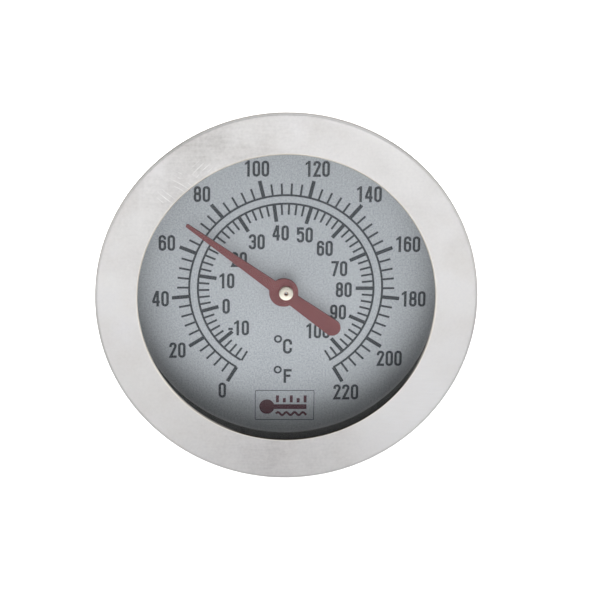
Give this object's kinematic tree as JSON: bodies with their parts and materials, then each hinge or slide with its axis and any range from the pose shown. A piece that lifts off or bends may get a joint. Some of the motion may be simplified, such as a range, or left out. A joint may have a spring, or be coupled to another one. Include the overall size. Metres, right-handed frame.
{
  "type": "dial thermometer",
  "caption": "Round dial thermometer for a brewing kettle: a wide crimped steel ring, a red pointer over printed scales, and a short probe behind a threaded fitting with seal, washer and nut.",
  "frame": {"origin": "on the probe's axis, 7 mm beyond the fixed hexagon's shoulder, in the middle of the bare stretch of thread that the kettle wall sits on", "axes": "the dial faces -Y, the probe runs along +Y, the dial's top is +Z and its right-hand side is +X"},
  "size_m": [0.078, 0.091, 0.078],
  "materials": {
    "bezel_steel": "fine satin grain, lightly scratched",
    "lens_glass": "clear, polished",
    "gasket_rubber": "matte",
    "black_plastic": "matte, faint moulded grain",
    "dial_face": "satin cool grey, printed in dark slate",
    "carrier_steel": "plain pressed sheet",
    "case_steel": "drawn sheet, fine turned grain",
    "pointer_red": "matte muted red",
    "bush_metal": "turned, dull bright",
    "shaft_steel": "ground",
    "bearing_brass": "turned",
    "bimetal_strip": "straw-tinted strip",
    "probe_steel": "drawn tube, long grain",
    "fitting_steel": "turned",
    "silicone": "translucent-looking silicone, semi-matte",
    "washer_steel": "stamped flat",
    "nut_steel": "milled flats"
  },
  "bodies": {
    "case": {"bezel_ring": "bezel_steel", "lens": "lens_glass", "lens_gasket": "gasket_rubber", "spacer_ring": "black_plastic", "dial_plate": "dial_face", "dial_carrier": "carrier_steel", "case_cup": "case_steel", "upper_bearing": "bearing_brass", "lower_bearing": "bearing_brass", "bimetal_coil": "bimetal_strip", "coil_anchor": "bearing_brass", "probe_tube": "probe_steel", "probe_tip": "probe_steel", "threaded_fitting": "fitting_steel", "seal_ring": "silicone"},
    "pointer_set": {"pointer": "pointer_red", "pointer_bush": "bush_metal", "pointer_shaft": "shaft_steel", "coil_collar": "shaft_steel"},
    "washer": {"flat_washer": "washer_steel"},
    "nut": {"lock_nut": "nut_steel"}
  },
  "joints": [
    {"name": "pointer_spin", "type": "hinge", "parent": "case", "child": "pointer_set", "pos_m": [0, 0, 0], "axis": [0, 1, 0], "range_deg": [-94.5, 204.5]},
    {"name": "nut_travel", "type": "slide", "parent": "case", "child": "washer", "axis": [0, 1, 0], "range_m": [-0.009, 0.07]},
    {"name": "nut_turn", "type": "hinge", "parent": "washer", "child": "nut", "pos_m": [0, 0, 0], "axis": [0, 1, 0], "range_deg": [-1800, 13900]}
  ],
  "couplings": [
    {"joint": "nut_turn", "follows": "nut_travel", "rad_per_m": 3463.2}
  ]
}
